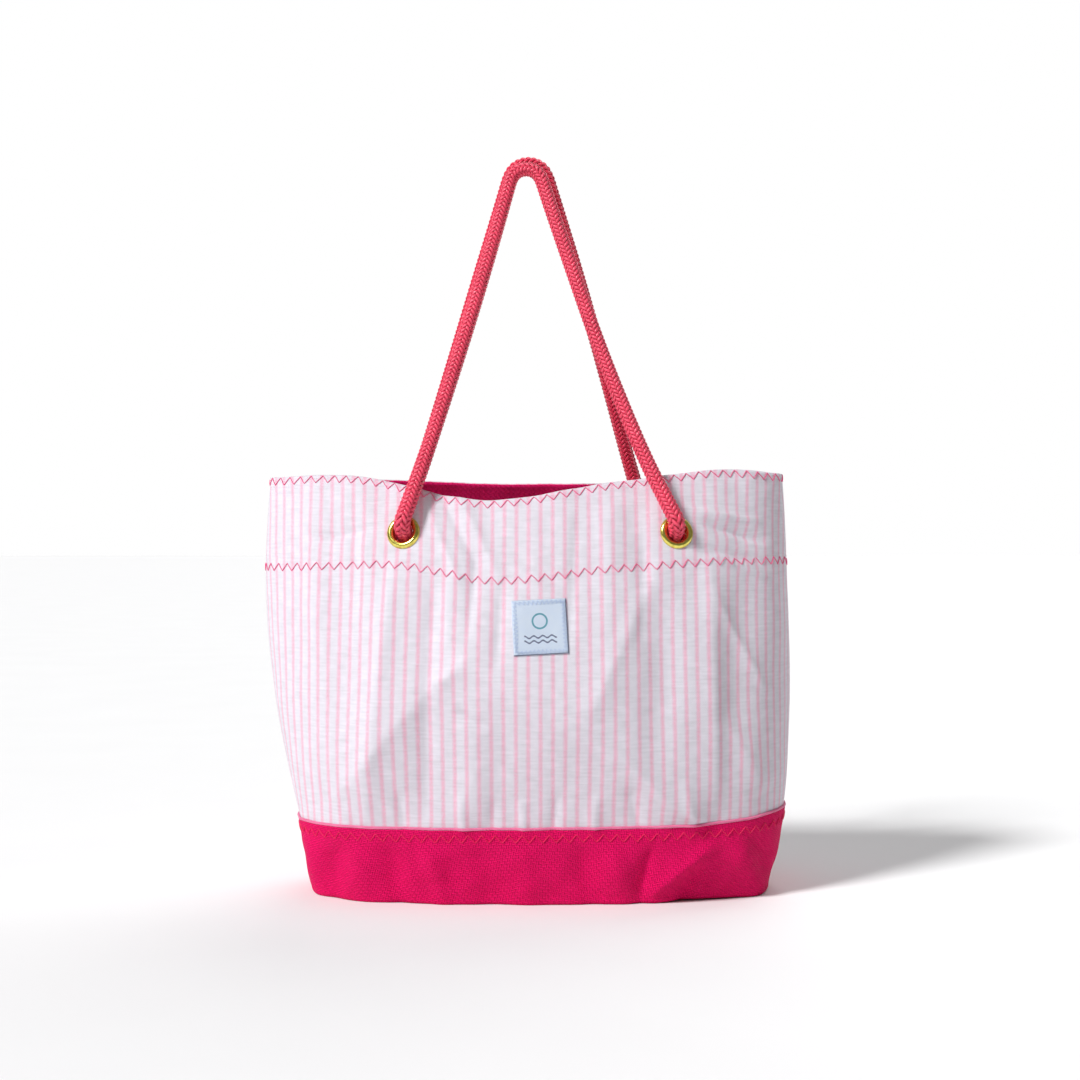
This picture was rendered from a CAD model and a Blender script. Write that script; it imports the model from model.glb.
import math

import bpy
import numpy as np
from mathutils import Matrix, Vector


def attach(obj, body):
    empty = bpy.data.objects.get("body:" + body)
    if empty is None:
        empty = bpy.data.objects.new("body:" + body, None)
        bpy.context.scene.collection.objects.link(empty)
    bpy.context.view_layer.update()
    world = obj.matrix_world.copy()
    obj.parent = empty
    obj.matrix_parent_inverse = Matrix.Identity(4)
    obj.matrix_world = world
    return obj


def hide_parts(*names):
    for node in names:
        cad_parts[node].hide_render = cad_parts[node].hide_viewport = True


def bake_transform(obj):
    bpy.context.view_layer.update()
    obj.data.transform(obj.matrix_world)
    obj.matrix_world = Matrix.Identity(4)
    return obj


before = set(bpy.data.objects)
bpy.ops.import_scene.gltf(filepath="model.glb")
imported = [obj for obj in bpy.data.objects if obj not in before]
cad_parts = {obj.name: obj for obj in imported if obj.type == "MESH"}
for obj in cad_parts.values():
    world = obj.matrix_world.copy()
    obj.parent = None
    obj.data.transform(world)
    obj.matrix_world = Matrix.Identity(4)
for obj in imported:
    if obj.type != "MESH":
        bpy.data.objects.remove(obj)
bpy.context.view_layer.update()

# ----------
# Camera: level with the mouth of the bag, straight in front of it.
camera = bpy.data.objects.new("camera", bpy.data.cameras.new("camera"))
camera.data.lens = 57.0
camera.data.sensor_width = 36.0
camera.location = (0.0, -1.43, 0.288)
camera.rotation_euler = (math.radians(90.0), 0.0, 0.0)
bpy.context.scene.collection.objects.link(camera)
bpy.context.scene.camera = camera

# ----------
# Rope handles: one loop of braided rope on each panel. Each end goes in
# through a brass grommet and is knotted inside. Both loops hang from one hook,
# so their legs run up and lean in until they meet at the top.
rope_diameter = 0.014
rope_stand_off = 0.0106     # from the cloth to the line that the handle turns about
rope_reach_inside = 0.014
rope_first_rise = 0.020     # where the leg is upright again after the turn out of the grommet
gap_between_ropes = 0.0005
# The corners of each loop, across and up from the line between its two grommets
front_loop = [
    (-0.0909, 0.060), (-0.0640, 0.150), (-0.0442, 0.222), (-0.0323, 0.268), (-0.0272, 0.288),
    (-0.0236, 0.3023), (-0.0165, 0.3080), (-0.0074, 0.3082), (0.0000, 0.3029), (0.0045, 0.288),
    (0.0106, 0.268), (0.0252, 0.222), (0.0482, 0.150), (0.0820, 0.060),
]
back_loop = [
    (-0.1026, 0.060), (-0.0748, 0.150), (-0.0527, 0.222), (-0.0384, 0.268), (-0.0317, 0.290),
    (-0.0262, 0.3084), (-0.0173, 0.3151), (-0.0061, 0.3153), (0.0029, 0.3088), (0.0089, 0.290),
    (0.0161, 0.268), (0.0310, 0.222), (0.0524, 0.150), (0.0776, 0.060),
]
loop_tops = {"front": 0.308, "back": 0.315}
outward = {"front": -1.0, "back": 1.0}
dome_height = 0.0024        # how far a grommet's rolled flange stands off the cloth


def seat_of(grommet):
    """Where a grommet sits on the cloth, and the way it faces."""
    spots = np.array([vertex.co[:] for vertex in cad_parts[grommet].data.vertices])
    middle = (spots.max(axis=0) + spots.min(axis=0)) / 2
    axis = np.linalg.svd(spots - spots.mean(axis=0), full_matrices=False)[2][2]
    if axis[1] * outward[grommet.split("_")[0]] < 0:
        axis = -axis
    along = (spots - middle) @ axis
    return Vector(middle + axis * along.max()) - Vector(axis) * dome_height, Vector(axis)


seats = {
    side + "_" + hand: seat_of(side + "_" + hand + "_grommet")
    for side in ("front", "back")
    for hand in ("left", "right")
}


def handle_route(side, loop):
    """The rope's corners in the room, from inside the left grommet to inside the right one."""
    grommets = [seats[side + "_left"], seats[side + "_right"]]
    left_end, right_end = [seat + way * rope_stand_off for seat, way in grommets]
    left_inside, right_inside = [seat - way * rope_reach_inside for seat, way in grommets]
    line = (right_end - left_end).normalized()
    middle = left_end - line * (left_end.x / line.x)
    top_y = rope_diameter / 2 + gap_between_ropes
    lean = math.asin((abs(middle.y) - top_y) / loop_tops[side])
    uphill = Vector((0.0, -outward[side] * math.sin(lean), math.cos(lean)))
    uphill = (uphill - line * uphill.dot(line)).normalized()
    legs = [middle + line * across + uphill * up for across, up in loop]
    left_rise = left_end + (legs[0] - left_end).normalized() * rope_first_rise
    right_rise = right_end + (legs[-1] - right_end).normalized() * rope_first_rise
    return [left_inside, left_end, left_rise, *legs, right_rise, right_end, right_inside]


def placed(name, data):
    """A new object in the scene that holds this data."""
    made = bpy.data.objects.new(name, data)
    bpy.context.scene.collection.objects.link(made)
    return made


def finished_mesh(holder):
    """The holder's final shape as a plain mesh. The holder itself is removed."""
    bpy.context.view_layer.update()
    mesh = bpy.data.meshes.new_from_object(holder.evaluated_get(bpy.context.evaluated_depsgraph_get()))
    bpy.data.objects.remove(holder)
    return mesh


def smooth_route(name, corners):
    """Points along the smooth line that the corners steer."""
    curve = bpy.data.curves.new(name, "CURVE")
    curve.dimensions = "3D"
    curve.resolution_u = 40
    spline = curve.splines.new("NURBS")
    spline.points.add(len(corners) - 1)
    for spot, corner in zip(spline.points, corners):
        spot.co = (*corner, 1.0)
    spline.order_u = 3
    spline.use_endpoint_u = True
    mesh = finished_mesh(placed(name, curve))
    line = np.array([vertex.co[:] for vertex in mesh.vertices])
    bpy.data.meshes.remove(mesh)
    return line


def run_along(line):
    """The distance along a line at each of its points."""
    return np.concatenate(([0.0], np.cumsum(np.linalg.norm(np.diff(line, axis=0), axis=1))))


def unit(ways):
    """The same directions, each one long."""
    return ways / np.linalg.norm(ways, axis=-1, keepdims=True)


def even_steps(line, step):
    """The same line cut into equal steps, with the distance along it."""
    gaps = np.linalg.norm(np.diff(line, axis=0), axis=1)
    line = line[np.concatenate(([True], gaps > 1e-7))]
    along = run_along(line)
    marks = np.linspace(0.0, along[-1], max(8, int(round(along[-1] / step))) + 1)
    return np.column_stack([np.interp(marks, along, line[:, axis]) for axis in range(3)]), marks


def side_ways(line):
    """Two directions square to the line at each point, carried along it without twist."""
    ahead = unit(np.gradient(line, axis=0))
    first = np.zeros_like(ahead)
    first[0] = unit(np.cross(ahead[0], (0.31, 0.2, 0.93)))
    for index in range(1, len(line)):
        first[index] = unit(first[index - 1] - ahead[index] * np.dot(first[index - 1], ahead[index]))
    return first, np.cross(ahead, first)


def new_piece(name, finish, points, faces, uv=None):
    """A mesh object at the origin in one material. uv gives one pair for each point."""
    mesh = bpy.data.meshes.new(name)
    mesh.from_pydata(np.asarray(points).tolist(), [], faces)
    mesh.update()
    mesh.materials.append(finish)
    if uv is not None:
        layer = mesh.uv_layers.new(name="cloth")
        corners = np.empty(len(mesh.loops), dtype=np.int32)
        mesh.loops.foreach_get("vertex_index", corners)
        layer.data.foreach_set("uv", np.asarray(uv)[corners].astype(np.float32).ravel())
        mesh.polygons.foreach_set("use_smooth", [True] * len(mesh.polygons))
    return placed(name, mesh)


def lattice(columns, rows, ring=False, loop=False):
    """Faces between columns of points. A ring closes each column, a loop the row of columns."""
    faces = []
    for column in range(columns if loop else columns - 1):
        here, there = column * rows, (column + 1) % columns * rows
        for row in range(rows if ring else rows - 1):
            after = (row + 1) % rows
            faces.append((here + row, here + after, there + after, there + row))
    return faces


carriers_each_way = 8
braid_lay = 0.030           # one strand's whole turn round the rope
braid_step = 0.00082
strand_half_width = 0.00158
strand_half_thickness = 0.00120
strand_wave = 0.00070       # how far a strand rises over and dips under its neighbours
strand_sides = 6
core_share = 0.98           # the core of straight yarns fills this much of the braid's inside


def braid(line, marks, thickness):
    """A two-over, two-under braid round a core: points, faces and their uv."""
    first, second = side_ways(line)
    strand_middle = rope_diameter / 2 - strand_half_thickness - strand_wave
    crossings = marks * 2 * carriers_each_way / braid_lay
    strands = []
    for hand in (1, -1):
        for carrier in range(carriers_each_way):
            turn = 2 * math.pi * (carrier / carriers_each_way + hand * marks / braid_lay)
            wave = hand * np.cos(math.pi / 2 * (hand * crossings + 2 * carrier + 0.5))
            out = first * np.cos(turn)[:, None] + second * np.sin(turn)[:, None]
            middle = line + out * ((strand_middle + strand_wave * wave) * thickness)[:, None]
            flank = np.cross(out, unit(np.gradient(middle, axis=0)))
            ring = []
            for side in range(strand_sides):
                angle = 2 * math.pi * (side + 0.5) / strand_sides
                wide = flank * (strand_half_width * math.cos(angle))
                high = out * (strand_half_thickness * math.sin(angle))
                spots = middle + thickness[:, None] * (wide + high)
                crown = 0.5 + 0.5 * wave * math.sin(angle)
                ring.append(np.column_stack([spots, marks + carrier * 0.13, crown]))
            strands.append(np.stack(ring, axis=1))
    core = []
    for side in range(strand_sides):
        angle = 2 * math.pi * side / strand_sides
        out = first * math.cos(angle) + second * math.sin(angle)
        spots = line + out * (strand_middle * core_share * thickness)[:, None]
        core.append(np.column_stack([spots, marks, np.zeros(len(marks))]))
    strands.append(np.stack(core, axis=1))
    faces = []
    wall = np.array(lattice(len(marks), strand_sides, ring=True))
    end = np.arange(strand_sides)
    for index in range(len(strands)):
        first_point = index * len(marks) * strand_sides
        last_ring = first_point + (len(marks) - 1) * strand_sides
        faces += (wall + first_point).tolist()
        faces += [(first_point + end[::-1]).tolist(), (last_ring + end).tolist()]
    flat = np.concatenate(strands).reshape(-1, 5)
    return flat[:, :3], faces, flat[:, 3:]


def node(tree, kind, inputs=(), **settings):
    """Adds a node to a tree. inputs pairs a socket with a value or another socket."""
    made = tree.nodes.new(kind)
    for key, value in settings.items():
        setattr(made, key, value)
    for socket, value in dict(inputs).items():
        if isinstance(value, bpy.types.NodeSocket):
            tree.links.new(value, made.inputs[socket])
        else:
            made.inputs[socket].default_value = value
    return made


def maths(tree, operation, first, second=0.0, third=0.0):
    """The result of one sum on values or sockets."""
    return node(tree, "ShaderNodeMath", {0: first, 1: second, 2: third}, operation=operation).outputs[0]


def weighed(tree, *parts, base=0.0):
    """The sum of some values, each times its weight."""
    for value, weight in parts:
        base = maths(tree, "MULTIPLY_ADD", value, weight, base)
    return base


def stretched(tree, value, low, high, start=0.0, end=1.0, **settings):
    """A value mapped so that low gives start and high gives end."""
    ends = {"Value": value, "From Min": low, "From Max": high, "To Min": start, "To Max": end}
    return node(tree, "ShaderNodeMapRange", ends, **settings).outputs[0]


def noise(tree, place, scale, detail, roughness=0.5):
    """Soft random patches, finer with a greater scale."""
    values = {"Vector": place, "Scale": scale, "Detail": detail, "Roughness": roughness}
    return node(tree, "ShaderNodeTexNoise", values).outputs[0]


def object_place(tree):
    """The place in the object's own room."""
    return node(tree, "ShaderNodeTexCoord").outputs["Object"]


def apart(tree, place):
    """The three parts of a place."""
    return node(tree, "ShaderNodeSeparateXYZ", {0: place}).outputs


def squeezed(tree, place, *scale):
    """A place multiplied along each axis."""
    return node(tree, "ShaderNodeMapping", {"Vector": place, "Scale": scale}).outputs[0]


def colour_mix(tree, share, low, high):
    """A colour between two, by a share."""
    return node(tree, "ShaderNodeMix", {"Factor": share, 6: low, 7: high}, data_type="RGBA").outputs[2]


def new_material(name, roughness=0.9, sheen=0.0, metallic=0.0):
    """A material with its shader, whose constant sockets are set directly."""
    material = bpy.data.materials.new(name)
    material.use_nodes = True
    tree = material.node_tree
    tree.nodes.clear()
    shader = tree.nodes.new("ShaderNodeBsdfPrincipled")
    shader.inputs["Roughness"].default_value = roughness
    shader.inputs["Metallic"].default_value = metallic
    shader.inputs["Sheen Weight"].default_value = sheen
    shader.inputs["Sheen Roughness"].default_value = 0.5
    output = tree.nodes.new("ShaderNodeOutputMaterial")
    tree.links.new(shader.outputs[0], output.inputs[0])
    return material, tree, shader


def finish_material(tree, shader, colour, height=None, depth=0.0002, roughness=None, strength=1.0):
    """Joins a colour, a roughness and a height to the shader."""
    tree.links.new(colour, shader.inputs["Base Color"])
    if roughness is not None:
        tree.links.new(roughness, shader.inputs["Roughness"])
    if height is not None:
        bump = node(tree, "ShaderNodeBump", {"Height": height, "Distance": depth, "Strength": strength})
        tree.links.new(bump.outputs[0], shader.inputs["Normal"])


def new_group(name, kind, sockets_in, sockets_out):
    """A node group with its sockets: the group, what it is given and what it puts out."""
    group = bpy.data.node_groups.new(name, kind)
    for in_out, sockets in (("INPUT", sockets_in), ("OUTPUT", sockets_out)):
        for socket_name, socket_type in sockets.items():
            group.interface.new_socket(socket_name, in_out=in_out, socket_type="NodeSocket" + socket_type)
    return group, group.nodes.new("NodeGroupInput").outputs, group.nodes.new("NodeGroupOutput").inputs


# Twisted fibres: fine lines along a strand, with slow changes of dye
fibres, given, put_out = new_group(
    "twisted_fibres", "ShaderNodeTree",
    {"Along": "Vector", "Fineness": "Float", "Twist": "Float"}, {"Fibre": "Float", "Dye": "Float"},
)
along = apart(fibres, given["Along"])
drawn_out = maths(fibres, "MULTIPLY", along[0], 60.0)
across_fibre = maths(fibres, "ADD", along[1], maths(fibres, "MULTIPLY", along[0], given["Twist"]))
lined = node(fibres, "ShaderNodeCombineXYZ", {0: drawn_out, 1: across_fibre}).outputs[0]
fibres.links.new(noise(fibres, lined, given["Fineness"], 2.0), put_out["Fibre"])
fibres.links.new(noise(fibres, object_place(fibres), 55.0, 3.0), put_out["Dye"])


def rope_material(name, shade, bright):
    """Dyed braid with a slight gloss: fibres run along each strand, paler on the crowns."""
    material, tree, shader = new_material(name, roughness=0.3)
    uv = node(tree, "ShaderNodeUVMap", uv_map="cloth").outputs[0]
    values = {"Along": uv, "Fineness": 9.0, "Twist": 180.0}
    lines = node(tree, "ShaderNodeGroup", values, node_tree=fibres).outputs
    share = weighed(tree, (apart(tree, uv)[1], 0.85), (lines["Dye"], 0.35), (lines["Fibre"], 0.35))
    colour = colour_mix(tree, stretched(tree, share, 0.35, 1.2), shade, bright)
    finish_material(tree, shader, colour, lines["Fibre"], depth=0.0004)
    return material


def linear(red, green, blue):
    """A screen colour, 0 to 255, as the renderer's own numbers."""
    made = []
    for value in (red, green, blue):
        share = value / 255
        made.append(share / 12.92 if share <= 0.04045 else ((share + 0.055) / 1.055) ** 2.4)
    return (*made, 1.0)


rope_finishes = {
    "front": rope_material("rose_rope", linear(150, 0, 34), linear(252, 80, 110)),
    "back": rope_material("rose_rope_back", linear(160, 0, 40), linear(246, 60, 94)),
}
leg_thickness = 0.885       # pulled thinner up the legs than where it bulges out of its grommets
for side, loop, rope_length in (("front", front_loop, 0.71), ("back", back_loop, 0.725)):
    line, marks = even_steps(smooth_route(side + "_handle_line", handle_route(side, loop)), braid_step)
    from_end = np.minimum(marks, marks[-1] - marks)
    thickness = leg_thickness + (1 - leg_thickness) * np.exp(-((from_end / 0.075) ** 2))
    rope = new_piece(side + "_handle_braid", rope_finishes[side], *braid(line, marks, thickness))
    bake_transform(rope)
    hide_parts(side + "_handle_rope")

# ----------
# Striped panels: one sheet of canvas on each side, pale pink woven stripes on
# white, sewn together down the side seams. Filled, they belly out low down and
# lean back to the mouth. Sizes of cloth pieces are in millimetres.
mm = 0.001
bag_height = 344.0
base_width, belly_width, mouth_width = 374.0, 435.0, 427.0
base_depth, belly_depth, mouth_depth = 160.0, 198.0, 120.0
widest_height, deepest_height = 240.0, 170.0
mouth_lean = 2.4
panel_thickness = 1.4
ply_gap = 0.05
panel_foot = 52.0           # the panels run down inside the boot
seam_turn = 0.20            # at the mouth the right seam has rolled this far to the front, in radians
back_shift = -14.0
shift_height = 294.0        # the back leans its whole way over by this height


def smooth_line(*stations):
    """A smooth curve through a few (place, value) stations, flat beyond the last ones."""
    places, values = np.array(stations, dtype=float).T
    slopes = np.gradient(values, places)
    slopes[0] = slopes[-1] = 0.0

    def value_at(place):
        place = np.clip(place, places[0], places[-1])
        index = np.clip(np.searchsorted(places, place) - 1, 0, len(places) - 2)
        span = places[index + 1] - places[index]
        part = (place - places[index]) / span
        return (
            values[index] * (1 + 2 * part) * (1 - part) ** 2
            + slopes[index] * span * part * (1 - part) ** 2
            + values[index + 1] * part**2 * (3 - 2 * part)
            + slopes[index + 1] * span * part**2 * (part - 1)
        )

    return value_at


# The filled bag sags over to its left above the base
sideways = smooth_line((0, 1.6), (60, 0.6), (137, -4.7), (240, -10.8), (344, -11.2))
front_edge = smooth_line(
    (-224, 340), (-168, 341), (-136, 337.6), (-105, 330.7), (-72, 323), (-39, 319.8), (-6, 322.7),
    (28, 329), (48, 332.8), (87, 337.8), (121, 342.6), (160, 345.6), (200, 343.3),
)
back_edge = smooth_line((-224, 340), (-150, 340.5), (-40, 337.5), (100, 338.5), (205, 343.0))
top_edges = {"front": front_edge, "back": back_edge}


def swell(height, fullest, base, belly, mouth, mouth_power):
    """A width or depth that grows from the base to the belly and draws in to the mouth."""
    if height < fullest:
        return belly - (belly - base) * ((fullest - height) / fullest) ** 2
    return belly - (belly - mouth) * ((height - fullest) / (bag_height - fullest)) ** mouth_power


def cloth_outline(height):
    """The closed outline at a height, from the right seam round the front and back again."""
    width = swell(height, widest_height, base_width, belly_width, mouth_width, 2)
    depth = swell(height, deepest_height, base_depth, belly_depth, mouth_depth, mouth_lean)
    power = 2 / (2 + max(0.0, 1 - height / bag_height) ** 2)
    start = seam_turn * max(0.0, height / bag_height) ** 2
    halves = []
    for first_angle, shift in ((start, 0.0), (math.pi, back_shift)):
        half = np.linspace(first_angle, math.pi if shift == 0.0 else 2 * math.pi + start, 700)
        across = np.sign(np.cos(half)) * np.abs(np.cos(half)) ** power
        along = np.sign(np.sin(half)) * np.abs(np.sin(half)) ** power
        lean = float(sideways(height)) * across**2
        lean = lean + shift * min(1.0, max(0.0, height / shift_height)) ** 2 * (1 - across**2)
        halves.append((across * width / 2 + lean, -along * depth / 2))
    return halves


# The cloth's shape, looked up by share of the way round a panel and by height
shares = np.linspace(0.0, 1.0, 401)
heights = np.arange(0.0, 351.0)
highest = 349               # the last height that still has a row above it
cloth_table = {side: np.empty((len(heights), len(shares), 3)) for side in ("front", "back")}
for row, height in enumerate(heights):
    for side, (across, along) in zip(("front", "back"), cloth_outline(height)):
        run = run_along(np.column_stack([across, along]))
        mark = shares * run[-1]
        centre = np.interp(0.0, -across if side == "front" else across, run)
        spots = [np.interp(mark, run, across), np.interp(mark, run, along), mark - centre]
        cloth_table[side][row] = np.column_stack(spots)


def look_up(side, share, height):
    """Across, along and distance from the centre line of a panel's bare shape."""
    table = cloth_table[side]
    column = np.clip(share, 0, 1) * (len(shares) - 1)
    row = np.clip(height, 0, len(heights) - 1.001)
    left = np.clip(np.floor(column).astype(int), 0, len(shares) - 2)
    low = np.floor(row).astype(int)
    right_part = (column - left)[..., None]
    high_part = (row - low)[..., None]
    below = table[low, left] * (1 - right_part) + table[low, left + 1] * right_part
    above = table[low + 1, left] * (1 - right_part) + table[low + 1, left + 1] * right_part
    return below * (1 - high_part) + above * high_part


def fold(across, height, x0, z0, x1, z1, width, rise, sharp):
    """A ridge (or a crease, if it falls) between two spots, dying away at both ends."""
    length = math.hypot(x1 - x0, z1 - z0)
    ahead = ((across - x0) * (x1 - x0) + (height - z0) * (z1 - z0)) / length
    off = ((across - x0) * (z1 - z0) - (height - z0) * (x1 - x0)) / length
    part = np.clip(ahead / length, -0.5, 1.5)
    window = np.clip(1.0 - (2.0 * np.abs(part - 0.5)) ** 3, 0.0, 1.0)
    if sharp:
        profile = np.exp(-(np.sqrt(off**2 + (0.18 * width) ** 2) - 0.18 * width) / (0.55 * width))
    else:
        profile = np.exp(-((off / width) ** 2))
    return rise * window * profile


# Each fold: across and height at both ends, half width, rise, and 1 if it is sharp
front_folds = [
    # below the crest the cloth hangs in towards the boot
    (-66, 156, -40, 142, 6, -2.2, 1), (-84, 172, -52, 196, 7, 1.8, 1),
    (-20, 178, 40, 150, 9, 1.6, 1),
    # the corners that the side faces turn on
    (-112, 292, -138, 58, 20, 5.4, 1), (-84, 262, -90, 64, 13, -3.8, 1),
    (-50, 176, -52, 58, 14, 3.0, 0), (96, 272, 32, 140, 15, 3.0, 1),
    (104, 252, 86, 100, 15, -3.2, 0), (-176, 250, -168, 80, 16, 2.4, 0),
    (134, 300, 138, 70, 18, 4.0, 1), (158, 268, 152, 90, 14, -3.0, 0),
    (134, 250, 186, 160, 8, 2.6, 1), (146, 150, 182, 84, 16, 3.2, 1),
    # slack between the grommets, hanging from the left one
    (-98, 330, -60, 250, 7, 2.8, 1), (-84, 334, -46, 262, 6, -2.4, 1),
    (-66, 326, -28, 250, 8, 2.2, 1), (-50, 285, -56, 205, 6, -2.4, 1),
    (-70, 270, -72, 200, 7, 1.8, 0), (-29, 262, -34, 180, 7, -2.2, 1),
    (-8, 320, 4, 220, 9, 1.4, 0), (30, 318, 22, 200, 8, -1.8, 1),
    (56, 322, 50, 180, 10, 1.8, 0), (84, 316, 78, 196, 8, -1.8, 1),
    (-150, 330, -146, 230, 8, -1.6, 1), (-184, 322, -176, 190, 9, 1.5, 0),
    # pull lines from the right grommet towards the seam
    (116, 305, 186, 286, 5, -4.0, 1), (110, 313, 182, 302, 5, 3.2, 1),
    (118, 286, 180, 270, 5, -2.6, 1), (128, 278, 190, 256, 6, 2.0, 1),
    (-122, 300, -190, 286, 6, -2.0, 1),
    # small puckers over the boot
    (-112, 92, -106, 56, 6, -2.2, 1), (-62, 90, -60, 56, 6, 2.2, 1),
    (-36, 88, -38, 56, 6, -1.8, 1), (-14, 86, -12, 56, 6, 2.0, 1),
    (14, 92, 10, 56, 6, -2.0, 1), (44, 90, 42, 56, 7, 1.8, 1),
    (70, 96, 78, 56, 8, -2.2, 1), (112, 100, 122, 56, 9, 2.2, 1),
]
# The load presses the front out most along this crest: across, then height
crest = smooth_line(
    (-170, 84), (-139, 108), (-113, 140), (-60, 184), (4, 151), (63, 118), (114, 72), (150, 66),
)
crest_push = smooth_line((-175, 0), (-139, 7.0), (-60, 12.0), (60, 12.0), (112, 7.0), (150, 0))
back_folds = [
    (-120, 170, 110, 196, 36, 4.0, 0), (-90, 290, -70, 190, 16, -2.2, 1),
    (70, 285, 96, 180, 15, -2.4, 1), (-20, 240, -6, 90, 20, 2.0, 0),
    (-150, 240, -135, 70, 14, -2.2, 1), (140, 250, 128, 70, 15, -2.0, 1),
    (20, 150, 60, 60, 13, -1.8, 1), (-70, 130, -90, 60, 13, -1.8, 1),
]
panel_folds = {"front": front_folds, "back": back_folds}
flat_reach, free_reach = 14.0, 36.0     # round a grommet the cloth lies flat, then is free again
tent_foot, tent_top = 58.0, 266.0       # the push of the load dies away by the boot and by the hem
tent_ridge = 22                         # the greater, the sharper the crest


def slack(side, across, height):
    """How far the folds push the cloth out, in millimetres."""
    total = np.zeros_like(across)
    for shape in panel_folds[side]:
        total += fold(across, height, *shape)
    if side == "front":
        ridge = crest(across)
        above = np.clip(1 - (height - ridge) / (tent_top - ridge), 0, 1.3) ** 1.25
        below = np.clip((height - tent_foot) / (ridge - tent_foot), 0, 1.3) ** 1.7
        tent = -np.log(np.exp(-tent_ridge * above) + np.exp(-tent_ridge * below)) / tent_ridge
        total += crest_push(across) * np.clip(tent, 0, 1)
        total += 0.55 * np.sin(across / 6.5 + height / 60.0) * np.clip((height - 170) / 60, 0, 1)
    # uneven filling and the give of washed canvas
    total += 0.7 * np.sin(across / 31.0 + height / 47.0 + 0.6) * np.sin(height / 38.0 - across / 90.0)
    total += 0.35 * np.sin(across / 13.0 - height / 29.0) * np.sin(height / 17.0 + 1.0)
    return total


def puckers(side, run, height):
    """Small waves that the rows of stitching pull into the cloth."""
    hem_gap = (height - hem_lines[side](run)) / 7.0
    top_gap = (height - 336.0) / 9.0
    boot_gap = (height - 62.0) / 8.0
    waves = 0.24 * np.sin(run / 4.1) + 0.16 * np.sin(run / 6.7 + 1.3)
    return waves * (np.exp(-hem_gap**2) + 0.7 * np.exp(-top_gap**2) + np.exp(-boot_gap**2))


front_hem = smooth_line(
    (-226, 265.8), (-145, 267.7), (-118, 268.3), (-77, 262.7), (-48, 256.8), (-25, 256.0), (5, 259),
    (40, 264), (74, 266.5), (120, 269.7), (175, 271.2), (200, 271.4),
)
back_hem = smooth_line((-226, 266), (-120, 263), (-30, 259), (90, 261), (206, 270))
hem_lines = {"front": front_hem, "back": back_hem}


def ease(share):
    """A share from 0 to 1, with a soft start and a soft end."""
    share = np.clip(share, 0, 1)
    return share * share * (3 - 2 * share)


def from_seat(place, name):
    """A grommet's seat and way, and each point's height above the seat and place round its line."""
    seat, way = np.array(seats[name][0]) / mm, np.array(seats[name][1])
    above = (place - seat) @ way
    around = place - seat - above[..., None] * way
    return seat, way, above, around, np.linalg.norm(around, axis=-1)


def cloth(side, share, height, lift=0.0):
    """Points on a panel's outer face, lifted off it by a distance, and the face's own run."""
    share = np.asarray(share, dtype=float)
    height = np.asarray(height, dtype=float)
    spot = look_up(side, share, height)
    nudge, rise = 0.004, 1.5
    upper, lower = np.minimum(height + rise, highest), np.maximum(height - rise, 0)
    along_way = look_up(side, np.minimum(share + nudge, 1), height)
    along_way = along_way - look_up(side, np.maximum(share - nudge, 0), height)
    up_way = look_up(side, share, upper) - look_up(side, share, lower)
    run_way = np.stack([along_way[..., 0], along_way[..., 1], np.zeros_like(height)], axis=-1)
    climb = np.stack([up_way[..., 0], up_way[..., 1], upper - lower], axis=-1)
    facing = unit(np.cross(climb, run_way))
    place = np.stack([spot[..., 0], spot[..., 1], height], axis=-1)
    # folds die out at the side seams, where four layers are sewn together
    seam = ease(np.minimum(share, 1 - share) / 0.05)
    push = slack(side, spot[..., 0], height) * seam + puckers(side, spot[..., 2], height)
    place = place + facing * (push + lift)[..., None]
    for hand in ("left", "right"):
        _, way, above, _, reach = from_seat(place, side + "_" + hand)
        hold = ease((free_reach - reach) / (free_reach - flat_reach)) * (np.abs(above) < 40)
        place = place - (hold * (above - lift))[..., None] * way
    return place, spot[..., 2], facing


def share_at(across, height):
    """The share of the way round the front panel at which it reaches a place across."""
    made = np.empty(across.shape)
    for index in np.ndindex(across.shape):
        line = cloth_table["front"][int(round(min(highest, max(0, height[index])))), :, 0]
        made[index] = np.interp(-across[index], -line, shares)
    return made


def cut_holes(place, faces, side):
    """Leaves out the cloth inside each grommet's bore and draws the edge in round it."""
    flat = place.reshape(-1, 3)
    faces = np.array(faces)
    seated = [from_seat(flat, side + "_" + hand) for hand in ("left", "right")]
    gone = np.zeros(len(flat), dtype=bool)
    for _, _, above, _, reach in seated:
        gone |= (reach < grommet_cut) & (np.abs(above) < 15)
    cut = gone[faces].any(axis=1)
    edge = np.unique(faces[cut])
    for seat, way, above, around, reach in seated:
        rim = edge[~gone[edge] & (reach[edge] < grommet_cut + 8) & (np.abs(above[edge]) < 15)]
        flat[rim] = seat + unit(around[rim]) * grommet_cut + above[rim][:, None] * way
    used, kept = np.unique(faces[~cut], return_inverse=True)
    return flat[used], kept.reshape(-1, 4).tolist(), used


def thicken(piece, thickness):
    """Gives a sheet its thickness, inwards from the face that was drawn."""
    wall = piece.modifiers.new("cloth thickness", "SOLIDIFY")
    wall.thickness = thickness * mm
    wall.offset = -1.0
    wall.use_even_offset = False


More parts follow.
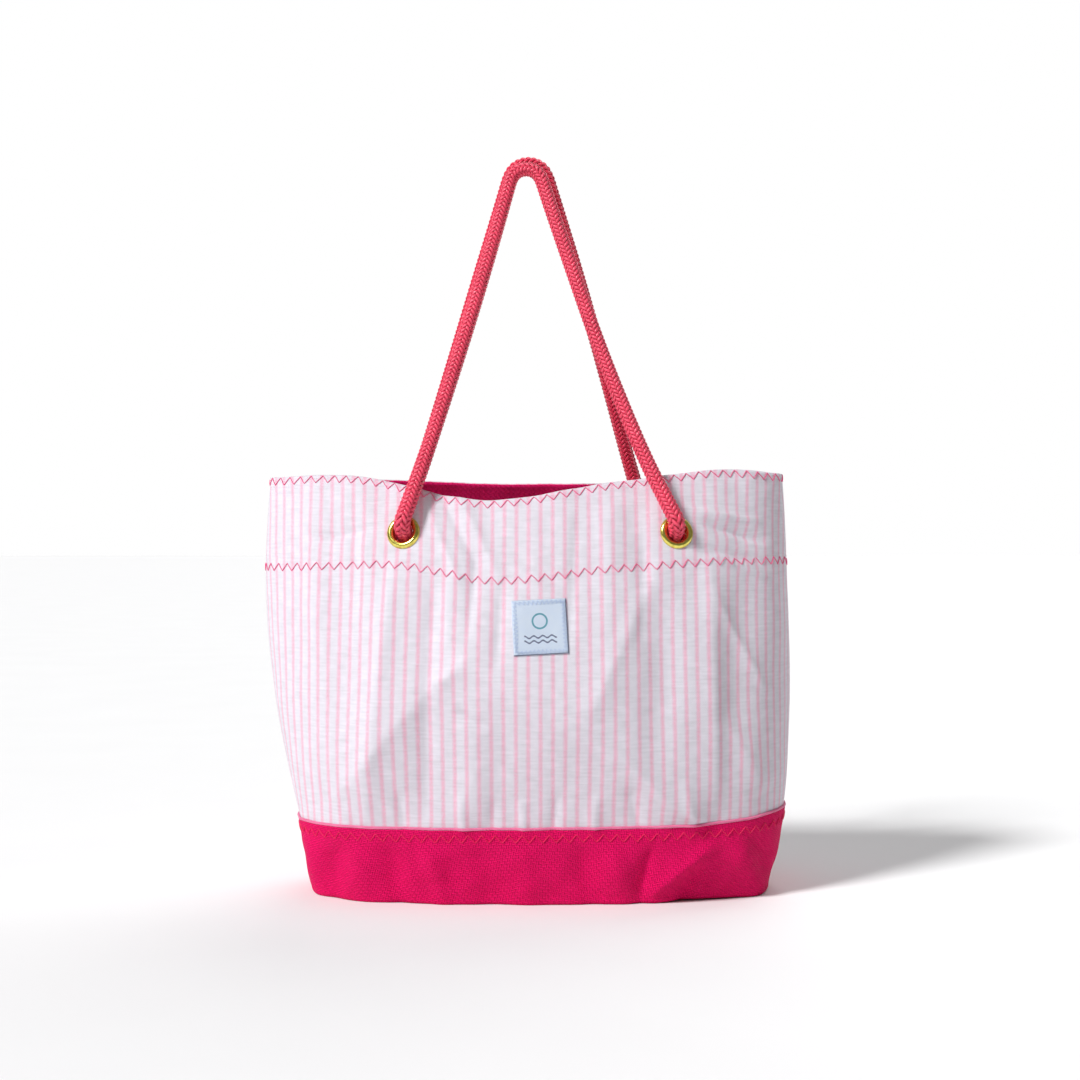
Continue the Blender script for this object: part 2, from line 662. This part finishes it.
def canvas_band(name, finish, thickness, side, low, high, columns, rows, lift=0.0, trim=0.0):
    """A piece of a panel's cloth between two edges, with its grommet holes. low and high give
    a height for each place across."""
    share = np.linspace(trim, 1 - trim, columns + 1)[:, None] + np.zeros((1, rows + 1))
    middle = look_up(side, share[:, 0], np.full(columns + 1, 320.0))[:, 0]
    bottom, top = low(middle)[:, None], high(middle)[:, None]
    height = bottom + (top - bottom) * np.linspace(0, 1, rows + 1)[None, :]
    place, run, _ = cloth(side, share, height, lift)
    flat_uv = np.stack([run, height], axis=-1).reshape(-1, 2) * mm
    points, faces, used = cut_holes(place, lattice(columns + 1, rows + 1), side)
    piece = new_piece(name, finish, points * mm, faces, flat_uv[used])
    thicken(piece, thickness)
    return piece


# Plain-woven canvas: warp and weft pass over each other, each yarn a little uneven
weaving, given, put_out = new_group(
    "canvas_weave", "ShaderNodeTree",
    {"Cloth": "Vector", "Yarn Width": "Float", "Basket": "Float"},
    {"Relief": "Float", "Over": "Float", "Slub": "Float"},
)
wobble = noise(weaving, given["Cloth"], 260.0, 1.0)
arches, cells = [], []
for place_on in list(apart(weaving, given["Cloth"]))[:2]:
    shifted = maths(weaving, "MULTIPLY_ADD", wobble, 0.0005, place_on)
    count = maths(weaving, "DIVIDE", shifted, given["Yarn Width"])
    arch = maths(weaving, "SINE", maths(weaving, "MULTIPLY", count, math.pi))
    arches.append(maths(weaving, "ABSOLUTE", arch))
    cells.append(maths(weaving, "FLOOR", maths(weaving, "DIVIDE", count, given["Basket"])))
odd_cell = maths(weaving, "MODULO", maths(weaving, "ADD", cells[0], cells[1]), 2.0)
odd_cell = maths(weaving, "ABSOLUTE", odd_cell)
relief = node(weaving, "ShaderNodeMix", {"Factor": odd_cell, 2: arches[0], 3: arches[1]}).outputs[0]
slub = noise(weaving, given["Cloth"], 120.0, 4.0)
for socket_name, value in (("Relief", relief), ("Over", odd_cell), ("Slub", slub)):
    weaving.links.new(value, put_out[socket_name])


def place_weave(tree, yarn_width, basket=1.0):
    """The weave on a piece's own uv, with its yarn width in metres."""
    uv = node(tree, "ShaderNodeUVMap", uv_map="cloth").outputs[0]
    values = {"Cloth": uv, "Yarn Width": yarn_width, "Basket": basket}
    return uv, node(tree, "ShaderNodeGroup", values, node_tree=weaving).outputs


stripe_pitch = 0.009525
stripe_share = 0.33
half_stripe = stripe_pitch * stripe_share / 2
striped_canvas, tree, shader = new_material("striped_canvas", roughness=0.92, sheen=0.15)
uv, weave = place_weave(tree, 0.0008)
ragged = maths(tree, "MULTIPLY_ADD", weave["Slub"], 0.0009, apart(tree, uv)[0])
in_pitch = maths(tree, "PINGPONG", maths(tree, "ADD", ragged, 10.0 * stripe_pitch), stripe_pitch / 2)
stripe = stretched(
    tree, in_pitch, half_stripe - 0.0013, half_stripe + 0.0011, 1.0, 0.0, interpolation_type="SMOOTHSTEP",
)
# the weft crosses the dyed warp, so each stripe is a heather of pink and white
specks = noise(tree, squeezed(tree, uv, 1.0, 0.55, 1.0), 1500.0, 2.0)
heather = stretched(tree, specks, 0.36, 0.6, start=0.3)
stripe_yarn = maths(tree, "MULTIPLY", stripe, weighed(tree, (heather, 0.85), (weave["Over"], 0.2)))
dyed = colour_mix(tree, stripe_yarn, linear(219, 215, 224), linear(233, 168, 191))
weft_slubs = noise(tree, squeezed(tree, uv, 55.0, 620.0, 1.0), 1.0, 3.0)
worn = weighed(tree, (weave["Relief"], 0.12), (weft_slubs, 0.34), (weave["Slub"], 0.2), base=0.68)
shaded = node(tree, "ShaderNodeVectorMath", {0: dyed, "Scale": worn}, operation="SCALE").outputs[0]
finish_material(tree, shader, shaded, weave["Relief"], depth=0.00018, strength=0.7)

grommet_cut = 9.3           # the cloth's hole, under the grommet's flange
for side in ("front", "back"):
    panel = canvas_band(
        side + "_striped_panel", striped_canvas, panel_thickness, side,
        lambda across: np.full_like(across, panel_foot), top_edges[side], columns=210, rows=128,
    )
    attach(panel, "bag")
    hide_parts(side + "_panel")

# ----------
# Facings: a band of hot pink canvas behind each panel's top edge. It backs the
# grommets and is caught by the rows of stitching at the edge and at the hem.
facing_thickness = 1.2


def hot_pink(name, yarn_width, shade, bright):
    """Basket-woven canvas, darker between its yarns and unevenly faded."""
    material, tree, shader = new_material(name, roughness=0.72)
    shader.inputs["Specular IOR Level"].default_value = 0.12
    uv, weave = place_weave(tree, yarn_width, basket=2.0)
    faded = noise(tree, object_place(tree), 16.0, 3.0)
    tone = weighed(tree, (weave["Slub"], 0.28), (weave["Relief"], 0.55), (faded, 0.14))
    pink = colour_mix(tree, stretched(tree, tone, 0.28, 0.72), shade, bright)
    finish_material(tree, shader, pink, weave["Relief"], depth=0.0007)
    return material


facing_canvas = hot_pink("hot_pink_facing", 0.0011, linear(248, 6, 104), linear(255, 34, 126))
for side in ("front", "back"):
    facing = canvas_band(
        side + "_pink_facing", facing_canvas, facing_thickness, side,
        lambda across: hem_lines[side](across) - 3.0, lambda across: top_edges[side](across) - 0.2,
        columns=190, rows=36, lift=-panel_thickness - ply_gap, trim=0.0015,
    )
    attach(facing, "bag")
    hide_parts(side + "_facing")

# ----------
# Base boot: a cup of the same hot pink canvas over the panels' lower edges. Its
# top edge is turned in and topstitched, and its corners are boxed and creased.
pink_canvas = hot_pink("hot_pink_boot", 0.0013, linear(196, 0, 66), linear(255, 14, 112))
boot_thickness = 1.6
boot_lift = ply_gap + boot_thickness
bottom_round = 4.0
boot_top = smooth_line((-200, 60.5), (0, 62.0), (120, 63.4), (165, 65.8), (202, 70.0))
boot_columns, wall_rows, round_rows, floor_rows = 230, 26, 6, 16
wall_uv_top = 62.0
floor_uv = np.array([0.0, -300.0])      # the bottom's place on the flat cloth, clear of the walls'
above_floor = 0.02
drawn_in, foot_middle, foot_half_width, foot_height = 9.0, 132.0, 42.0, 34.0
fold_strength = 1.15
boot_folds = [
    (-190, 70, -176, -10, 8, 2.8, 0), (-160, 66, -168, -8, 9, -2.2, 0),
    (-126, 66, -108, -6, 9, -3.2, 0), (-92, 66, -74, -6, 9, 3.0, 0),
    (-150, 60, -136, -4, 10, 2.0, 0), (-48, 60, -36, -6, 11, -2.0, 0),
    (-16, 60, -8, -6, 11, 2.0, 0), (26, 66, 44, -6, 10, -2.6, 0),
    (52, 66, 70, 0, 10, 2.4, 0), (92, 66, 76, -6, 9, -2.8, 1),
    (84, 4, 148, 58, 9, 3.4, 1), (148, 66, 182, -6, 9, 2.6, 0),
    (166, 66, 196, 0, 8, -2.0, 0), (126, 30, 110, -4, 6, -2.2, 0),
]
boot_walls = []
for side in ("front", "back"):
    share = np.linspace(0.0, 1.0, boot_columns + 1)[:, None]
    across = look_up(side, share[:, 0], np.full(boot_columns + 1, 55.0))[:, 0]
    wall_top = boot_top(across)[:, None]
    wall = bottom_round + (wall_top - bottom_round) * np.linspace(1, 0, wall_rows + 1)[None, :]
    place, run, out = cloth(side, share + np.zeros_like(wall), wall, boot_lift)
    push = np.zeros_like(wall)
    if side == "front":
        for shape in boot_folds:
            push += fold_strength * fold(place[..., 0], wall, *shape)
        # the front right foot is drawn in under the bag
        near_foot = np.exp(-(((place[..., 0] - foot_middle) / foot_half_width) ** 2))
        push -= drawn_in * near_foot * np.clip(1 - wall / foot_height, 0, 1)
    push += 0.7 * np.sin(run / 8.0 + wall / 11.0) * np.sin(wall / 14.0)
    # the wall keeps its plain shape under the turned edge and at the side seams
    fade = np.clip((wall_top - 11.0 - wall) / 12.0, 0, 1)
    ends = np.clip(np.minimum(share, 1 - share) / 0.03, 0, 1)
    place = place + out * (push * fade * ends)[..., None]
    level = unit(out[:, -1] * np.array([1.0, 1.0, 0.0]))
    rows = [place]
    for step in range(1, round_rows + 1):
        angle = math.pi / 2 * step / round_rows
        inset = level * (bottom_round * (1 - math.cos(angle)))
        rows.append((place[:, -1] - inset - np.array([0.0, 0.0, bottom_round * math.sin(angle)]))[:, None])
    for step in range(1, floor_rows):
        inward = 1 - step / floor_rows
        rows.append(rows[round_rows] * np.array([inward, inward, 1.0]))
    columns = np.concatenate(rows, axis=1)
    steps = np.linalg.norm(np.diff(columns, axis=1), axis=-1)
    drop = np.concatenate([np.zeros((len(columns), 1)), np.cumsum(steps, axis=1)], axis=1)
    flat = np.stack([run[:, :1] + np.zeros_like(drop), wall_uv_top - drop], axis=-1)
    floor_start = wall_rows + 1 + round_rows
    flat[:, floor_start:] = columns[:, floor_start:, :2] + floor_uv
    boot_walls.append(np.concatenate([columns, flat], axis=-1)[:-1])
ring = np.concatenate(boot_walls)
around, down = ring.shape[:2]
middle_spot = np.array([[0.0, 0.0, 0.0, *floor_uv]])
ring = np.concatenate([ring.reshape(-1, 5), middle_spot])
ring[:, 2] = np.maximum(ring[:, 2], above_floor)
boot_faces = []
for column in range(around):
    here, after = column * down, (column + 1) % around * down
    for row in range(down - 1):
        boot_faces.append((here + row, after + row, after + row + 1, here + row + 1))
    boot_faces.append((here + down - 1, after + down - 1, len(ring) - 1))
boot = new_piece("pink_boot", pink_canvas, ring[:, :3] * mm, boot_faces, ring[:, 3:] * mm)
thicken(boot, boot_thickness)
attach(boot, "bag")
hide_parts("base_boot")

# The boot's turned edge: a rolled fold of the same canvas, faded where it rubs
faded_pink, tree, shader = new_material("faded_pink_fold", roughness=0.9, sheen=0.2)
uv, weave = place_weave(tree, 0.0011)
fold_tone = weighed(tree, (weave["Relief"], 0.3), (weave["Slub"], 0.6))
fold_colour = colour_mix(tree, fold_tone, linear(226, 60, 122), linear(250, 150, 190))
finish_material(tree, shader, fold_colour, weave["Relief"], depth=0.0003)
fold_line = []
for side in ("front", "back"):
    share = np.linspace(0.0, 1.0, 241)[:-1]
    across = look_up(side, share, np.full(240, 55.0))[:, 0]
    fold_line.append(cloth(side, share, boot_top(across) + 0.1, boot_lift - 0.75)[0])
fold_line = np.concatenate(fold_line) * mm
ahead = unit(np.roll(fold_line, -1, axis=0) - np.roll(fold_line, 1, axis=0))
out_way = unit(np.cross(ahead, (0.0, 0.0, 1.0)))
roll_run = run_along(fold_line)
roll_sides = 8
roll_half_width, roll_half_height = 0.0011, 0.0012
roll = []
for side in range(roll_sides):
    angle = 2 * math.pi * side / roll_sides
    spots = fold_line + roll_half_width * (out_way * math.cos(angle))
    spots = spots + np.array([0.0, 0.0, roll_half_height * math.sin(angle)])
    roll.append(np.column_stack([spots, roll_run, np.full(len(fold_line), side * 0.0009)]))
roll = np.stack(roll, axis=1).reshape(-1, 5)
roll_faces = lattice(len(fold_line), roll_sides, ring=True, loop=True)
boot_fold = new_piece("boot_turned_edge", faded_pink, roll[:, :3], roll_faces, roll[:, 3:])
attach(boot_fold, "bag")

# ----------
# Seam tapes: woven tape that binds the raw side seams inside, from the bottom
# of the boot up to the facing.
tape_thickness = 0.8
tape_half_width = 6.0
rows_up = 90
levels = np.linspace(6.0, 258.0, rows_up + 1)
for hand in ("right", "left"):
    columns = []
    for off in np.linspace(-tape_half_width, tape_half_width, 9):
        # negative runs on to the back panel, positive on to the front one
        side = "front" if off >= 0 else "back"
        spread = abs(off) / 500.0
        at_share = spread if (hand == "right") == (side == "front") else 1.0 - spread
        columns.append(cloth(side, np.full(rows_up + 1, at_share), levels, -panel_thickness - ply_gap)[0])
    if hand == "left":
        columns.reverse()
    across = np.linspace(-tape_half_width, tape_half_width, 9)
    tape_uv = np.stack(np.meshgrid(across, levels, indexing="ij"), axis=-1).reshape(-1, 2) * mm
    tape_points = np.concatenate(columns) * mm
    tape_faces = lattice(9, rows_up + 1)
    tape = new_piece(hand + "_binding_tape", striped_canvas, tape_points, tape_faces, tape_uv)
    thicken(tape, tape_thickness)
    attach(tape, "bag")
    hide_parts(hand + "_seam_tape")

# ----------
# Zigzag rows: thick pink thread sewn along the top edge, the hem and the boot.
# The thread lies on the cloth and goes down through it at every point of the zigzag.
thread_width = 0.00058
stitch_pitch = 0.0106
row_width = 0.0062

zigzag_row, given, put_out = new_group(
    "zigzag_row", "GeometryNodeTree",
    {
        "Row": "Geometry", "Pitch": "Float", "Width": "Float", "Thread": "Float", "Lift": "Float",
        "Unevenness": "Float", "Finish": "Material",
    },
    {"Thread Row": "Geometry"},
)


def sums(operation, first, second=0.0):
    """One sum inside the zigzag's tree."""
    return maths(zigzag_row, operation, first, second)


# a row line becomes zigzag thread; it carries the ways up and out of the cloth
row_line = node(zigzag_row, "GeometryNodeMeshToCurve", {0: given["Row"]}).outputs[0]
fine_step = sums("DIVIDE", given["Pitch"], 26.0)
fine_line = node(zigzag_row, "GeometryNodeResampleCurve", mode="LENGTH")
zigzag_row.links.new(row_line, fine_line.inputs["Curve"])
zigzag_row.links.new(fine_step, fine_line.inputs["Length"])
along = node(zigzag_row, "GeometryNodeSplineParameter").outputs["Length"]
halves = sums("DIVIDE", along, sums("MULTIPLY", given["Pitch"], 0.5))
ladder = sums("PINGPONG", halves, 1.0)
whole = node(zigzag_row, "FunctionNodeFloatToInt", {0: halves}).outputs[0]
values = {"ID": whole, "Seed": 7, 2: -1.0, 3: 1.0}
wander = node(zigzag_row, "FunctionNodeRandomValue", values, data_type="FLOAT").outputs[1]
arch = sums("MULTIPLY", sums("MULTIPLY", ladder, sums("SUBTRACT", 1.0, ladder)), 4.0)
drift = sums("MULTIPLY", sums("MULTIPLY", wander, given["Unevenness"]), arch)
swing = sums("ADD", sums("MULTIPLY", sums("SUBTRACT", ladder, 0.5), given["Width"]), drift)
height = sums("MULTIPLY", sums("POWER", arch, 0.4), given["Lift"])
moves = []
for way_name, amount in (("up_cloth", swing), ("off_cloth", height)):
    way = node(zigzag_row, "GeometryNodeInputNamedAttribute", {0: way_name}, data_type="FLOAT_VECTOR")
    values = {0: way.outputs[0], "Scale": amount}
    moves.append(node(zigzag_row, "ShaderNodeVectorMath", values, operation="SCALE").outputs[0])
offset = node(zigzag_row, "ShaderNodeVectorMath", {0: moves[0], 1: moves[1]}, operation="ADD").outputs[0]
moved = node(zigzag_row, "GeometryNodeSetPosition", {"Geometry": fine_line.outputs[0], "Offset": offset})
radius = sums("MULTIPLY", given["Thread"], 0.5)
circle = node(zigzag_row, "GeometryNodeCurvePrimitiveCircle", {"Resolution": 5, "Radius": radius}).outputs[0]
values = {"Curve": moved.outputs[0], "Profile Curve": circle, "Fill Caps": True}
sweep = node(zigzag_row, "GeometryNodeCurveToMesh", values).outputs[0]
smooth = node(zigzag_row, "GeometryNodeSetShadeSmooth", {0: sweep}).outputs[0]
real = node(zigzag_row, "GeometryNodeRealizeInstances", {0: smooth}).outputs[0]
finished = node(zigzag_row, "GeometryNodeSetMaterial", {"Geometry": real, "Material": given["Finish"]})
zigzag_row.links.new(finished.outputs[0], put_out[0])


def sew(name, line, up_cloth, off_cloth, **values):
    """Runs a row of thread along a line on the cloth and keeps it as a plain mesh."""
    mesh = bpy.data.meshes.new(name + "_line")
    mesh.from_pydata(line.tolist(), [(index, index + 1) for index in range(len(line) - 1)], [])
    for way_name, ways in (("up_cloth", up_cloth), ("off_cloth", off_cloth)):
        layer = mesh.attributes.new(way_name, "FLOAT_VECTOR", "POINT")
        layer.data.foreach_set("vector", np.asarray(ways, dtype=np.float32).ravel())
    guide = placed(name + "_line", mesh)
    row = guide.modifiers.new("zigzag row", "NODES")
    row.node_group = zigzag_row
    for item in zigzag_row.interface.items_tree:
        if item.in_out == "INPUT" and item.name.lower() in values:
            row[item.identifier] = values[item.name.lower()]
    made = finished_mesh(guide)
    made.name = name
    piece = placed(name, made)
    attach(piece, "bag")
    return piece


def thread_material(name, shade, bright):
    """Thick thread: a tight twist that catches the light."""
    material, tree, shader = new_material(name, roughness=0.6)
    values = {"Along": object_place(tree), "Fineness": 900.0, "Twist": 1.0}
    lines = node(tree, "ShaderNodeGroup", values, node_tree=fibres).outputs
    share = weighed(tree, (lines["Dye"], 0.3), (lines["Fibre"], 0.8))
    finish_material(tree, shader, colour_mix(tree, share, shade, bright), lines["Fibre"])
    return material


pink_thread = thread_material("pink_thread", linear(224, 16, 100), linear(255, 84, 152))
boot_thread = thread_material("boot_thread", linear(206, 0, 70), linear(248, 10, 98))


def sew_row(name, side, row_height, lift, finish, nodes, thread=thread_width):
    """One zigzag row on a panel, at a height given for each place across."""
    share = np.linspace(0.004, 0.996, 700)
    level = row_height(look_up(side, share, np.full(len(share), 300.0))[:, 0])
    line, _, out = cloth(side, share, level, lift)
    up = unit(cloth(side, share, level + 2.0, lift)[0] - cloth(side, share, level - 2.0, lift)[0])
    piece = sew(
        name, line * mm, up, out, finish=finish, pitch=stitch_pitch, width=row_width,
        thread=thread, lift=0.0004, unevenness=0.0003,
    )
    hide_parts(*nodes)


for side in ("front", "back"):
    edge, hem = top_edges[side], hem_lines[side]
    sew_row(
        side + "_edge_stitching", side, lambda across: edge(across) - 3.6, 0.05, pink_thread,
        [side + "_top_zigzag"],
    )
    sew_row(side + "_hem_stitching", side, hem, 0.05, pink_thread, [side + "_hem_zigzag"])
    sew_row(
        side + "_boot_stitching", side, lambda across: boot_top(across) - 7.5, boot_lift - 0.1,
        boot_thread, [side + "_base_zigzag"], thread=0.0008,
    )

# ----------
# Label: a small pale blue woven square, a little askew, sewn down all round with
# slanting pale thread. Its picture is a plain sun over waves, with no words.
label_size, label_height, label_turn = 42.5, 220.0, math.radians(3.0)
label_thickness = 0.45
label_cells = 28


def label_spots(across, up, lift):
    """Places on the label, from its own middle, on the cloth."""
    x = across * math.cos(label_turn) - up * math.sin(label_turn)
    z = label_height + across * math.sin(label_turn) + up * math.cos(label_turn)
    return cloth("front", share_at(x, z), z, lift)


woven_label, tree, shader = new_material("woven_label", roughness=0.75, sheen=0.2)
uv, weave = place_weave(tree, 0.00045)
spot = apart(tree, uv)
sun_off = node(tree, "ShaderNodeCombineXYZ", {0: spot[0], 1: maths(tree, "SUBTRACT", spot[1], 0.0045)})
sun_reach = node(tree, "ShaderNodeVectorMath", {0: sun_off.outputs[0]}, operation="LENGTH").outputs["Value"]


def stroke(value, middle, half_width):
    """1 where a value is within half a line's width of the line's middle, 0 elsewhere."""
    off = maths(tree, "ABSOLUTE", maths(tree, "SUBTRACT", value, middle))
    return maths(tree, "LESS_THAN", off, half_width)


sun = stroke(sun_reach, 0.0056, 0.0007)
wave_line = maths(tree, "MULTIPLY", maths(tree, "SINE", maths(tree, "MULTIPLY", spot[0], 900.0)), 0.0009)
wave_level = maths(tree, "SUBTRACT", spot[1], wave_line)
waves = maths(tree, "MAXIMUM", stroke(wave_level, -0.0075, 0.0006), stroke(wave_level, -0.0112, 0.0006))
waves = maths(tree, "MULTIPLY", waves, stroke(spot[0], 0.0, 0.0125))
ground_tone = weighed(tree, (weave["Slub"], 0.5), (weave["Relief"], 0.5))
drawn = colour_mix(tree, ground_tone, linear(212, 229, 255), linear(232, 243, 255))
for shape, colour in ((sun, linear(36, 150, 172)), (waves, linear(38, 48, 104))):
    drawn = colour_mix(tree, maths(tree, "MULTIPLY", shape, 0.85), drawn, colour)
finish_material(tree, shader, drawn, weave["Relief"])
steps = np.linspace(-label_size / 2, label_size / 2, label_cells + 1)
label_across, label_up = np.meshgrid(-steps, steps, indexing="ij")
label_points = label_spots(label_across, label_up, ply_gap + label_thickness)[0].reshape(-1, 3) * mm
label_uv = np.stack([label_across, label_up], axis=-1).reshape(-1, 2) * mm
label_faces = lattice(label_cells + 1, label_cells + 1)
label = new_piece("woven_label", woven_label, label_points, label_faces, label_uv)
thicken(label, label_thickness)
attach(label, "bag")
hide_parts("label")

border_thread = thread_material("label_border_thread", linear(168, 194, 238), linear(226, 238, 255))
navy_thread = thread_material("navy_thread", linear(26, 30, 62), linear(62, 70, 120))


def sew_label(name, half, corners, count, **values):
    """A row of thread along the label's edge. corners counts round from the top left one."""
    marks = np.linspace(*corners, count)
    across = -np.interp(marks, range(5), [half, half, -half, -half, half])
    up = np.interp(marks, range(5), [half, -half, -half, half, half])
    line, _, out = label_spots(across, up, ply_gap + label_thickness + 0.1)
    inner = label_spots(across * 0.9, up * 0.9, ply_gap + label_thickness + 0.1)[0]
    piece = sew(name, line * mm, unit(inner - line), out, lift=0.0003, unevenness=0.0001, **values)
    return piece


border = sew_label(
    "label_border_stitching", label_size / 2 - 2.3, (0.0, 4.0), 420,
    finish=border_thread, pitch=0.0034, width=0.0038, thread=0.00052,
)
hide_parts("label_stitching")
sew_label(
    "label_navy_stitching", label_size / 2 - 0.3, (1.0, 3.0), 240,
    finish=navy_thread, pitch=0.0022, width=0.0005, thread=0.00042,
)

# ----------
# Grommets and washers: bright brass, rolled over the cloth and worn where the
# rope rubs. They stay as the frame has them.
brass, tree, shader = new_material("worn_brass", roughness=0.28, metallic=1.0)
spot = object_place(tree)
scratches = noise(tree, squeezed(tree, spot, 900.0, 900.0, 4200.0), 1.0, 2.0)
dull = stretched(tree, noise(tree, spot, 240.0, 5.0, roughness=0.65), 0.42, 0.68)
metal = colour_mix(tree, dull, linear(240, 228, 118), linear(196, 180, 76))
rough = weighed(tree, (scratches, 0.1), (dull, 0.12), base=0.12)
finish_material(tree, shader, metal, scratches, depth=0.00006, roughness=rough, strength=0.5)
for place in seats:
    for kind in ("_grommet", "_washer"):
        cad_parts[place + kind].data.materials.clear()
        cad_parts[place + kind].data.materials.append(brass)

# ----------
# Stopper knots: inside each grommet the rope is tied in a tight overhand knot and
# its tail hangs down inside the bag.
knot_depth = 0.01995
knot_size = 0.0029
knot_tail = 0.030
knot_turns = 26
first_turn = 0.9            # where the rope comes into the knot's round, in radians
knot_thickness, tail_thickness, tail_taper = 0.80, 0.62, 24
for place, (seat, way) in seats.items():
    middle = seat - way * knot_depth
    sideways_way = way.cross(Vector((0.0, 0.0, 1.0))).normalized()
    upward = sideways_way.cross(way).normalized()
    corners = [seat - way * 0.004, seat - way * 0.010]
    for angle in np.linspace(first_turn, 2 * math.pi, knot_turns):
        across = knot_size * (math.sin(angle) + 2 * math.sin(2 * angle))
        up = knot_size * (math.cos(angle) - 2 * math.cos(2 * angle))
        deep = -knot_size * 1.3 * math.sin(3 * angle)
        corners.append(middle + sideways_way * across + upward * up + way * deep)
    corners += [middle + Vector((0.0, 0.0, -0.012)), middle + Vector((0.0, 0.0, -knot_tail))]
    line, marks = even_steps(smooth_route(place + "_knot_line", corners), braid_step)
    thickness = np.full(len(marks), knot_thickness)
    thickness[-tail_taper:] = np.linspace(knot_thickness, tail_thickness, tail_taper)
    finish = rope_finishes[place.split("_")[0]]
    knot = new_piece(place + "_overhand_knot", finish, *braid(line, marks, thickness))
    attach(knot, "bag")
    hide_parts(place + "_knot")

# ----------
# Floor, light and air: a plain pale floor, a soft key lamp from the upper left, a
# weaker, wider one from behind, and pale light all round.
pale_floor, tree, shader = new_material("pale_floor", roughness=0.8)
mottle = noise(tree, object_place(tree), 6.0, 2.0)
floor_colour = colour_mix(tree, mottle, (0.80, 0.80, 0.805, 1.0), (0.83, 0.83, 0.835, 1.0))
finish_material(tree, shader, floor_colour)
floor_corners = [(-30.0, -30.0, 0.0), (30.0, -30.0, 0.0), (30.0, 30.0, 0.0), (-30.0, 30.0, 0.0)]
floor = new_piece("floor", pale_floor, floor_corners, [(0, 1, 2, 3)])

for lamp_name, power, spread, heading in (
    ("key lamp", 3.5, 12.0, (0.56, 0.47, -0.68)),
    ("back lamp", 1.5, 60.0, (-0.35, -0.75, -0.56)),
):
    lamp = bpy.data.lights.new(lamp_name, "SUN")
    lamp.energy = power
    lamp.angle = math.radians(spread)
    placed(lamp_name, lamp).rotation_euler = Vector(heading).to_track_quat("-Z", "Y").to_euler()
world = bpy.data.worlds.new("pale air")
world.use_nodes = True
air = world.node_tree
seen = node(air, "ShaderNodeLightPath").outputs["Is Camera Ray"]
air.links.new(stretched(air, seen, 0.0, 1.0, 0.20, 1.0), air.nodes["Background"].inputs[1])
air.nodes["Background"].inputs[0].default_value = (1.0, 1.0, 1.0, 1.0)
bpy.context.scene.world = world
bpy.context.scene.view_settings.view_transform = "Standard"
